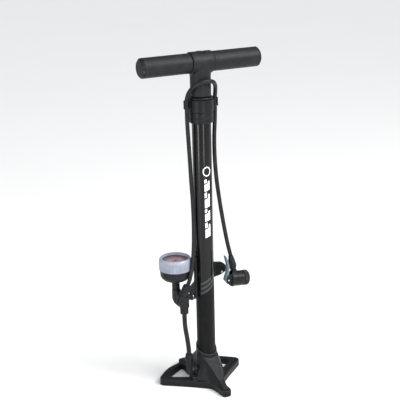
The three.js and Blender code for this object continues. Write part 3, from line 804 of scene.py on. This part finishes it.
make_outlet()
LINK_R = 4
link_route = [(*OUTLET, 60.8), (*OUTLET, 68), (OUTLET[0] - 2.6, OUTLET[1] - 0.4, 90),
              (TEE[0] + 1, TEE[1] + 0.2, 112), (*TEE, 130), (*TEE, 138.2)]
hose_piece("lower_hose", link_route, LINK_R, hose_rubber)

# ---- branched fitting

TEE_BOTTOM = 149.5
GAUGE = (-48, 16)
BOSS_TOP = 179
SLANT_LOW = (-46.3, -7, 172.8)
SLANT_HIGH = (-37.8, -9, 191.2)
SLANT_LENGTH = dist(SLANT_LOW, SLANT_HIGH)
BOSS = (-47.6, 14.6)


def make_tee():
    side = [(-7.5, TEE_BOTTOM, 2), (6, TEE_BOTTOM, 2), (21, 153.5, 4), (25.8, 161, 2),
            (25.8, BOSS_TOP, 1), (15, BOSS_TOP, 1), (11, 172, 3), (-7.5, 172, 2)]
    run = degrees(atan2(GAUGE[1] - TEE[1], GAUGE[0] - TEE[0]))
    web = moved(turned_by(upright(side, -5.4, 5.4), "Z", run), *TEE)
    port = moved(rod(8, TEE_BOTTOM, 172, edge=1), *TEE)
    port_band = moved(turned([(0, TEE_BOTTOM + 4), (8.5, TEE_BOTTOM + 4), (8.5, TEE_BOTTOM + 8),
                              (0, TEE_BOTTOM + 8)]), *TEE)
    boss = moved(rod(6.4, 156, BOSS_TOP, edge=0.8), *BOSS)
    slanted = aimed(rod(6.8, -15, -0.3, edge=0.8), SLANT_LOW, SLANT_HIGH)
    lug = block(TEE[0], -31.6, -7.5, -0.5, 163, 172)
    nut_room = aimed(rod(9, -0.3, 30), SLANT_LOW, SLANT_HIGH)
    bore = moved(rod(2, TEE_BOTTOM - 3, 160), *TEE)
    thread = moved(rod(4.2, 170, 190), *GAUGE)
    screw_hole = moved(along_x(rod(1.7, -40.4, -30)), *SCREW)
    black_piece("tee_block", [web, port, port_band, boss, slanted, lug], voxel=0.45, rounds=6,
                cutters=[nut_room, bore, thread, screw_hole])
    lower = hollow([(2.5, 138.5), (6.5, 138.5), (7.2, 139.8), (7.2, 149.2), (2.5, 149.2)], 0.6,
                   sides=168, wave=ribs(14, 0.5, 6))
    black_piece("tee_lower_nut", [moved(lower, *TEE)])
    top = SLANT_LENGTH
    upper = turned(softened([(0, 0), (6.6, 0), (7.4, 2.5), (7.4, 7), (6.9, 7.6), (7.3, 8.4),
                             (7.3, top - 2.6), (6.2, top), (4.2, top), (4.2, top - 1.2),
                             (0, top - 1.2)], 0.5), sides=192, wave=ribs(16, 0.45, 6.5))
    black_piece("tee_upper_nut", [aimed(upper, SLANT_LOW, SLANT_HIGH)])


make_tee()

# ---- bracket

EAR_PIN = (32, 0, 200)


def cutout(name, shape, tools):
    """The shape with the tools taken away, as a shape again."""
    item = raw_object(name, [shape])
    cut_away(item, tools)
    vertices = [vertex.co / MM for vertex in item.data.vertices]
    faces = [tuple(polygon.vertices) for polygon in item.data.polygons]
    bpy.data.objects.remove(item)
    return vertices, faces


def make_bracket():
    wall = ring(BARREL_R + 0.3, 19, 161, 236, edge=0.1, sides=96)
    plate = upright([(-31, 161, 1.5), (-17, 161), (-17, 236), (-20.5, 236, 1),
                     (-20.5, 193, 2), (-31, 184, 3)], -3.8, 0.4)
    ridges = [block(-30.4, -17.5, -5.0, 0, low, low + 1.2) for low in (162, 165.4, 168.8)]
    rail = upright([(-20.4, 162, 1), (-18.4, 162, 1), (-18.4, 235, 1), (-20.4, 235, 1)], -5.4, 0)
    foot = block(-31, -27, -8, 0.4, 161.5, 174)
    ear = upright([(16.8, 193.5), (28, 194, 6), (39, 199, 4), (43, 207, 4),
                   (35, 217.5, 6), (16.8, 220.5)], -2.6, 2.6)
    ear_rim = upright([(17, 204.5, 2), (34, 203.5, 3), (38, 207, 2), (32, 213.5, 3),
                       (17, 215, 2)], -3.2, 3.2)
    tools = [block(-30, 30, -30, -4, 150, 250), block(0, 30, -30, 30, 150, 193.5),
             block(0, 30, -30, 30, 221, 250)]
    clip = cutout("clip", wall, tools)
    pin_hole = moved(along_y(rod(1.3, -8, 8)), *EAR_PIN)
    screw_hole = moved(along_x(rod(1.7, -33, -25)), *SCREW)
    head_room = moved(along_x(rod(3.4, -27, -22)), *SCREW)
    room = rod(BARREL_R + 0.3, 150, 250, sides=96)
    black_piece("barrel_bracket", [clip, plate, *ridges, rail, foot, ear, ear_rim], voxel=0.45,
                rounds=5, cutters=[room, pin_hole, screw_hole, head_room])


make_bracket()
rivet = turned(softened([(0, -3.3), (1.1, -3.3), (1.1, 2.9), (2.3, 2.9), (2.2, 3.6), (1.4, 4.3),
                         (0, 4.4)], 0.3))
steel_piece("ear_rivet", [moved(turned_by(rivet, "X", 90), *EAR_PIN)])
screw = turned(softened([(0, -40), (1.4, -39.4), (1.4, -26.7), (3, -26.7), (3, -25.6),
                         (2.2, -24.7), (0, -24.6)], 0.25))
steel_piece("tee_screw", [moved(along_x(screw), *SCREW)])

# ---- gauge

DIAL_Z = 228
DIAL_START = 225  # degrees, where the scale's zero is
DIAL_SWEEP = 270
TOP_NUMBER = 12
SMALL_TICKS = 60
BOURDON_R = 15


def at_gauge(shape):
    return moved(shape, *GAUGE)


def tube(points, radius, sides=16):
    """A closed round tube along the points."""
    points = [Vector(point) for point in points]
    angles = [2 * pi * k / sides for k in range(sides)]
    rings, side = [], None
    for i, point in enumerate(points):
        ahead = (points[min(i + 1, len(points) - 1)] - points[max(i - 1, 0)]).normalized()
        side = ahead.orthogonal() if side is None else side - ahead * side.dot(ahead)
        side = side.normalized()
        other = ahead.cross(side)
        rings.append([point + (side * cos(angle) + other * sin(angle)) * radius for angle in angles])
    return loft(rings)


def lettering(text, size):
    """Flat raised text lying on z = 0, read from above, with +Y up."""
    curve = bpy.data.curves.new("lettering", "FONT")
    curve.body = text
    curve.size = size
    curve.extrude = 0.02
    curve.align_x = "CENTER"
    curve.align_y = "CENTER"
    item = placed("lettering", curve)
    graph = bpy.context.evaluated_depsgraph_get()
    mesh = bpy.data.meshes.new_from_object(item.evaluated_get(graph))
    bpy.data.objects.remove(item)
    vertices = [vertex.co.copy() for vertex in mesh.vertices]
    return vertices, [tuple(polygon.vertices) for polygon in mesh.polygons]


def make_gauge_shell():
    case = [(4.3, 179.3), (6.8, 179.3), (6.8, 190.5), (14, 194.5), (21.5, 197.6), (26, 203.5),
            (26.5, 215), (26.5, 226), (24.5, 226), (24.5, 214), (24, 204.5), (20.5, 199.8),
            (12, 196.4), (4.3, 196.4)]
    black_piece("gauge_case", [at_gauge(hollow(case, 2.2))])
    bezel = [(26.8, 215.5), (27.6, 215.5), (28, 216.2), (28, 217), (28, 229.6), (28, 231),
             (27.4, 234), (25.4, 236.5), (23.4, 236.1), (22, 233.2), (22, 231.6), (24.6, 231.6),
             (24.6, 226.4), (26.8, 226.4)]
    grooves = ribs(72, 0.85, 27.5, 216.5, 230.2)
    piece("gauge_bezel", [at_gauge(hollow(bezel, 0.7, sides=576, wave=grooves))], bezel_plastic,
          slot="bezel_plastic")
    glass = [(0, 230.55), (24.2, 230.3), (24.2, 230.8)]
    glass += [(24.2 * cos(angle), 230.8 + 0.5 * sin(angle))
              for angle in (pi / 2 * k / 10 for k in range(1, 10))]
    piece("gauge_lens", [at_gauge(turned([*glass, (0, 231.3)]))], lens_finish, slot="clear_plastic")
    piece("gauge_dial", [at_gauge(ring(1.6, 24.1, DIAL_Z - 1, DIAL_Z, edge=0.12))],
          dial_finish, slot="dial_card")


def make_gauge_works():
    thread = [(0, 170)]
    for k in range(8):
        thread += [(3.5, 170.2 + k), (3.9, 170.7 + k)]
    stem = turned([*thread, (3.6, 179), (3.9, 180), (3.9, 204), (3.3, 205), (0, 205)])
    lock = turned(softened([(0, 196.7), (6, 196.7), (6, 200), (0, 200)], 0.6), wave=flats(6, 0.1))
    brass_piece("gauge_stem", [at_gauge(stem), at_gauge(lock)], sharp=30)
    arc = [(BOURDON_R * cos(angle), BOURDON_R * sin(angle), 212)
           for angle in (pi * (-0.5 + 1.5 * k / 48) for k in range(49))]
    parts = [tube(arc, 2), block(-3, 3, -17, -2, 206, 210.6), block(-2, 2, -17, -13, 206, 212)]
    brass_piece("gauge_bourdon_tube", [at_gauge(part) for part in parts], voxel=0.4, rounds=4)
    arm = slab([(-1.3, -6, 1), (1.3, -6, 1), (0.9, 0), (0.25, 18.5), (-0.25, 18.5), (-0.9, 0)],
               DIAL_Z + 1.6, DIAL_Z + 2)
    boss = rod(2, DIAL_Z + 1.5, DIAL_Z + 2.1, edge=0.3)
    needle = [at_gauge(turned_by(shape, "Z", 135)) for shape in (arm, boss)]
    piece("gauge_needle", needle, needle_paint, body="needle", bevel=0.08, slot="needle_red")
    arbor = turned(softened([(0, 214.8), (0.6, 214.8), (1, 215.4), (1, 228.6), (0.6, 229.2),
                             (0, 229.2)], 0.2))
    steel_piece("gauge_arbor", [at_gauge(arbor)], body="needle")


def make_dial_print():
    """Thirteen long ticks over 270 degrees, short ones between them, and even numbers."""
    marks = []
    for k in range(SMALL_TICKS + 1):
        long = k % 5 == 0
        inner = 16.2 if long else 18.6
        half = 0.28 if long else 0.14
        tick = block(inner, 20.4, -half, half, DIAL_Z + 0.005, DIAL_Z + 0.05)
        marks.append(at_gauge(turned_by(tick, "Z", DIAL_START - DIAL_SWEEP * k / SMALL_TICKS)))
    for number in range(0, TOP_NUMBER + 1, 2):
        angle = radians(DIAL_START - DIAL_SWEEP * number / TOP_NUMBER)
        label = moved(lettering(str(number), 4.2), 12.8 * cos(angle), 12.8 * sin(angle), DIAL_Z + 0.03)
        marks.append(at_gauge(label))
    piece("dial_print", marks, print_black, nodes=(), sharp=0)


make_gauge_shell()
make_gauge_works()
make_dial_print()

# ---- cap and clips

CAP_BOTTOM = 469
CAP_STEP = 488
CAP_TOP = 512
CAP_R = 21
BARREL_TOP = 484


def make_cap():
    top = CAP_TOP
    profile = [(BARREL_R + 0.3, CAP_BOTTOM), (19.4, CAP_BOTTOM), (20.2, CAP_BOTTOM + 2),
               (20.2, 477.6), (19.8, 478), (20.2, 478.4), (20.2, CAP_STEP - 0.4),
               (17.4, CAP_STEP - 0.4), (17.4, top - 4), (19.8, top - 3.6), (20.4, top - 1.4),
               (19.6, top), (9.6, top), (9.6, BARREL_TOP + 0.3), (BARREL_R + 0.3, BARREL_TOP + 0.3)]
    shell = hollow(profile, 0.7, sides=128)
    piece("top_cap", [shell], cap_plastic, slot="black_plastic")


def make_collar():
    bottom, top = CAP_STEP, CAP_TOP - 4.4
    parts = [rod(CAP_R, bottom, top, 96)]
    parts.append(upright([(-CLIP_X, top), (-CLIP_X, top - 14, 2), (-17, bottom), (17, bottom),
                          (CLIP_X, top - 14, 2), (CLIP_X, top)], -2.2, 4.2))
    tools = [rod(17.7, bottom - 2, top + 2, 96)]
    for side in (1, -1):
        middle = side * CLIP_X
        parts.append(moved(rod(HOSE_R + 1.8, top - 14, top), middle))
        parts.append(moved(block(-4.4, 4.4, -4.6, 2, top - 14, top - 12.4), middle))
        tools.append(moved(rod(HOSE_R + 0.6, top - 22, top + 2), middle))
        tools.append(moved(block(-2.8, 2.8, -9, 0, top - 22, top + 2), middle))
    piece("hose_collar", parts, cap_plastic, voxel=0.4, rounds=5, cutters=tools, slot="black_plastic")


make_cap()
make_collar()
bush_profile = [(6.1, 474), (12, 474), (12, BARREL_TOP), (9.2, BARREL_TOP), (9.2, CAP_TOP - 5),
                (6.1, CAP_TOP - 5)]
brass_piece("rod_bush", [hollow(bush_profile, 0.4)])
wiper_profile = [(6.1, CAP_TOP - 4.7), (9.2, CAP_TOP - 4.7), (9.2, CAP_TOP - 1.4),
                 (8, CAP_TOP - 1), (6.1, CAP_TOP - 1), (6.9, CAP_TOP - 2.4)]
rubber_piece("rod_wiper", [hollow(wiper_profile, 0.3)])

# ---- piston, rod and valve

ROD_R = 6
PISTON_Z = 44
piston_profile = [(4.4, 50), (13.2, 50), (13.6, 51), (13.6, 53.2), (12.9, 53.8), (12.9, 55.2),
                  (13.6, 55.8), (13.6, 58.4), (13, 59), (4.4, 59)]
black_piece("piston", [hollow(piston_profile, 0.4)], body="piston")
cup_profile = [(4.4, 47), (12.4, 47), (14.2, PISTON_Z), (14.5, PISTON_Z), (14.5, 49.7), (4.4, 49.7)]
rubber_piece("piston_cup_seal", [hollow(cup_profile, 0.5)], body="piston")
rod_profile = [(0, 41), (3.4, 41), (4, 41.8), (4, 59.3), (5.6, 59.3), (ROD_R, 60),
               (ROD_R, 555.4), (5.4, 556), (4, 556), (4, 582.2), (3.2, 583), (0, 583)]
piece("piston_rod", [turned(softened(rod_profile, 0.3), sides=128)], chrome, body="handle",
      slot="chrome")


def hex_nut(bottom, top, radius, bore):
    profile = [(bore, bottom), (radius, bottom), (radius, top), (bore, top)]
    return hollow(profile, 0.5, wave=flats(6, bore + 0.6))


steel_piece("piston_nut", [hex_nut(42, 46.7, 7, 4.2)], body="handle")
steel_piece("rod_top_nut", [hex_nut(578.9, 583.2, 6.8, 4.2)], body="handle")
rubber_piece("rod_buffer", [ring(ROD_R + 0.3, 10.5, 59.6, 68, edge=1.6)], body="handle")
seat_profile = [(2.6, 31.3), (11, 31.3), (11.6, 32), (11.6, 34.8), (11, 35.4), (3.4, 35.4), (2.6, 34.4)]
brass_piece("check_valve_seat", [hollow(seat_profile, 0.3)])
poppet_profile = [(0, 21), (1.1, 21), (1.6, 21.8), (1.6, 28.4), (4.2, 28.4), (4.6, 29),
                  (4.6, 30.4), (3.8, 31), (0, 31)]
rubber_piece("check_valve_poppet", [turned(softened(poppet_profile, 0.3))], body="poppet")
COIL_R = 3.4
COIL_LOW = 17.75
COIL_RISE = 9.9
COIL_TURNS = 4
COIL_STEPS = 32  # straight spans in one turn
coil = []
for step in range(COIL_TURNS * COIL_STEPS + 1):
    angle = 2 * pi * step / COIL_STEPS
    coil.append((COIL_R * cos(angle), COIL_R * sin(angle),
                 COIL_LOW + COIL_RISE * angle / (2 * pi * COIL_TURNS)))
spring = steel_piece("check_valve_spring", [tube(coil, 0.35, 12)])
rubber_piece("barrel_gasket", [ring(13, BARREL_R, 35.8, 37.7, edge=0.6)])

# ---- handle

GRIP_Z = 567.6
GRIP_R = 16.4
TUBE_R = 11
HUB_R = 18.2
HUB_HALF = 19.5
NECK_R = 17.2
HANDLE_HALF = 108


def at_grip(shape):
    return moved(along_x(shape), z=GRIP_Z)


def make_hub():
    neck = turned([(0, 512.3), (NECK_R - 1, 512.3), (NECK_R, 513.6), (NECK_R, 545), (18, 553),
                   (18, 562), (0, 562)])
    sleeve = at_grip(turned(softened([(0, -HUB_HALF), (HUB_R, -HUB_HALF), (HUB_R, HUB_HALF),
                                      (0, HUB_HALF)], 1.2)))
    tools = [at_grip(rod(TUBE_R + 0.3, -30, 30)), rod(ROD_R + 0.3, 500, 560),
             ring(9.5, 14.8, 500, 542), rod(8, 575, 600)]
    grip_piece("handle_hub", [neck, sleeve], voxel=0.6, rounds=10, cutters=tools)
    button = [(0, 583.5), (7.6, 583.5), (7.6, 585), (6.8, 585.4), (3, 585.6), (0, 585.6)]
    grip_piece("hub_plug", [turned(softened(button, 0.3))])


def make_grip(side):
    name = "left" if side < 0 else "right"
    near, far = HUB_HALF + 0.3, HANDLE_HALF - 4
    profile = [(TUBE_R + 0.3, near), (GRIP_R - 0.6, near), (GRIP_R, near + 1.2),
               (GRIP_R, far - 0.6), (GRIP_R - 0.4, far), (TUBE_R + 0.3, far)]
    cap = [(0, 90), (TUBE_R - 1.8, 90), (TUBE_R - 1.8, far + 0.3), (GRIP_R - 0.5, far + 0.3),
           (GRIP_R, far + 0.9), (GRIP_R - 3.4, HANDLE_HALF), (0, HANDLE_HALF)]
    sleeve = hollow(profile, 0.5, sides=128)
    end = turned(softened(cap, 0.6), sides=128)
    flip = 180 if side < 0 else 0
    for node, shape in ((f"grip_{name}", sleeve), (f"grip_end_cap_{name}", end)):
        grip_piece(node, [moved(turned_by(along_x(shape), "Z", flip), z=GRIP_Z)])


make_hub()
make_grip(-1)
make_grip(1)
core = at_grip(ring(TUBE_R - 1.5, TUBE_R, -100, 100, edge=0.3))
steel_piece("handle_tube", [core], body="handle", cutters=[rod(6.4, 540, 562), rod(4.4, 560, 600)])

# ---- head

HEAD = (29, -26, 195)  # the lever's pin
HEAD_TILT = 6  # degrees, the mouth downwards
HEAD_R = 13
FERRULE_TOP = (37.4, -25.5, 236.4)
FERRULE_LOW = (42, -26, 209)
LEVER_HALF = 4.2
SPIGOT_X = 11.5


def at_head(shape):
    return moved(turned_by(shape, "Y", HEAD_TILT), *HEAD)


def make_ferrule():
    length = (Vector(FERRULE_TOP) - Vector(FERRULE_LOW)).length
    profile = [(0, 0), (4.3, 0), (5, 2.5), (6.9, 8), (6.9, 12), (6.5, 12.4)]
    for k in range(4):
        low = 12.8 + k * 2.2
        radius = 6.4 - 0.28 * k
        profile += [(radius - 0.6, low), (radius, low + 0.6), (radius, low + 1.4)]
    profile += [(5.0, 22), (4.4, length - 1.5), (3.8, length), (0, length)]
    return black_piece("head_ferrule",
                       [aimed(turned(softened(profile, 0.4)), FERRULE_LOW, FERRULE_TOP)])


def make_head_body():
    shell = along_x(turned(softened([(0, 6), (HEAD_R, 6), (HEAD_R, 29.7), (10.8, 29.7),
                                     (10.8, 36), (0, 36)], 1.6)))
    band = along_x(turned([(0, 21), (HEAD_R + 0.2, 21.4), (HEAD_R + 0.2, 23.6), (0, 24)]))
    cheeks = upright([(-3, 2, 2), (-1.5, 8, 2), (12, 11), (12, -12), (5.5, -12, 3), (-2, -4, 2)], -7, 7)
    slot = block(-10, 9, -LEVER_HALF - 0.3, LEVER_HALF + 0.3, -20, 20)
    tools = [slot, along_y(rod(1.8, -12, 12)), along_x(rod(8.4, 14, 60)), along_x(rod(4, 4, 30)),
             moved(rod(2, 0, 20), SPIGOT_X)]
    spigot = moved(rod(5.9, 6, 16.8, edge=0.5), SPIGOT_X)
    ferrule_seat = aimed(rod(5.2, -0.3, 10), FERRULE_LOW, FERRULE_TOP)
    return black_piece("head_body",
                       [at_head(shape) for shape in (shell, band, cheeks, spigot)],
                       voxel=0.35, rounds=5,
                       cutters=[*(at_head(tool) for tool in tools), ferrule_seat])


def make_collar_ring():
    profile = [(11.1, 30), (HEAD_R - 0.6, 30), (HEAD_R + 0.2, 30.8), (HEAD_R + 0.2, 37.6),
               (HEAD_R - 1, 39.3), (7, 39.3), (6, 38.6), (6, 37), (11.1, 37)]
    shape = hollow(profile, 0.4, sides=320, wave=ribs(40, 0.5, HEAD_R - 0.4))
    return black_piece("head_collar", [at_head(along_x(shape))])


def make_lever():
    def station(x, z, thick, half):
        return [(x - thick, -half, z), (x - thick, half, z), (x + thick, half, z),
                (x + thick, -half, z)]
    blade = loft([station(-1, 3, 2.8, LEVER_HALF), station(-0.5, 11, 2.1, LEVER_HALF),
                  station(0, 20, 1.7, LEVER_HALF), station(-1.4, 28, 1.6, LEVER_HALF),
                  station(-4.6, 36, 1.6, LEVER_HALF), station(-7.6, 42.5, 1.2, 3.4)])
    cam = along_y(rod(5, -LEVER_HALF, LEVER_HALF))
    return piece("head_lever", [at_head(blade), at_head(cam)], lever_plastic, body="lever",
                 voxel=0.3, rounds=6, cutters=[at_head(along_y(rod(2.1, -20, 20)))],
                 slot="lever_plastic")


def make_head_inside():
    pin = along_y(turned(softened([(0, -8.4), (1.2, -8.2), (1.6, -7.6), (1.6, 7.6), (1.2, 8.2),
                                   (0, 8.4)], 0.2)))
    seal_profile = [(4.2, 24), (8, 24), (8, 36.6), (5, 36.6), (4.2, 35.6), (4.6, 33), (4.2, 30)]
    seal = along_x(hollow(seal_profile, 0.4))
    stem = along_x(turned(softened([(0, 5.4), (3.6, 5.4), (3.6, 16), (8, 16), (8, 19), (0, 19)], 0.5)))
    return [steel_piece("head_lever_pin", [at_head(pin)]),
            rubber_piece("head_seal", [at_head(seal)]),
            black_piece("head_plunger", [at_head(stem)], body="plunger")]


on_the_hose = [make_ferrule(), make_head_body(), make_collar_ring(), make_lever(), *make_head_inside()]
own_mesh(spring)

# ---- floor and light

FLOOR_HALF = 20.0  # metres
SKY_STRENGTH = 0.34
SUN_STRENGTH = 2.6
PUMP_MIDDLE = Vector((0, 0, 0.3))

floor_mesh = bpy.data.meshes.new("floor")
floor_corners = [(x * FLOOR_HALF, y * FLOOR_HALF, 0) for x, y in ((-1, -1), (1, -1), (1, 1), (-1, 1))]
floor_mesh.from_pydata(floor_corners, [], [(0, 1, 2, 3)])
floor_paint = Finish("floor_paint", Roughness=0.6)
floor_paint.colour(floor_paint.mix(floor_paint.noise(400), (236, 236, 235), (239, 239, 238)))
floor_mesh.materials.append(floor_paint.material)
floor = placed("floor", floor_mesh)

world = bpy.data.worlds.new("studio")
world.use_nodes = True
sky = world.node_tree.nodes["Background"]
sky.inputs["Color"].default_value = (0.93, 0.95, 1.0, 1.0)
sky.inputs["Strength"].default_value = SKY_STRENGTH
scene.world = world


def softbox(name, azimuth, height, distance, wide, tall, watts):
    """A panel of light. Azimuth 0 is in front of the pump, at -Y, and it turns towards -X."""
    panel = bpy.data.lights.new(name, "AREA")
    panel.shape = "RECTANGLE"
    panel.size = wide
    panel.size_y = tall
    panel.energy = watts
    item = placed(name, panel)
    turn = radians(azimuth)
    item.location = (-distance * sin(turn), -distance * cos(turn), height)
    aim = PUMP_MIDDLE - item.location
    item.rotation_euler = aim.to_track_quat("-Z", "Y").to_euler()


softbox("left_strip", 67, 0.7, 2.0, 0.4, 1.5, 18)
softbox("front_strip", 5, 0.7, 2.2, 0.24, 1.5, 13)
softbox("key", -40, 1.6, 1.6, 0.8, 0.8, 30)

# A broad soft sun keeps the floor evenly pale.
sun = bpy.data.lights.new("sun", "SUN")
sun.energy = SUN_STRENGTH
sun.angle = radians(50)
sun_item = placed("sun", sun)
sun_item.rotation_euler = (radians(28), radians(14), 0)
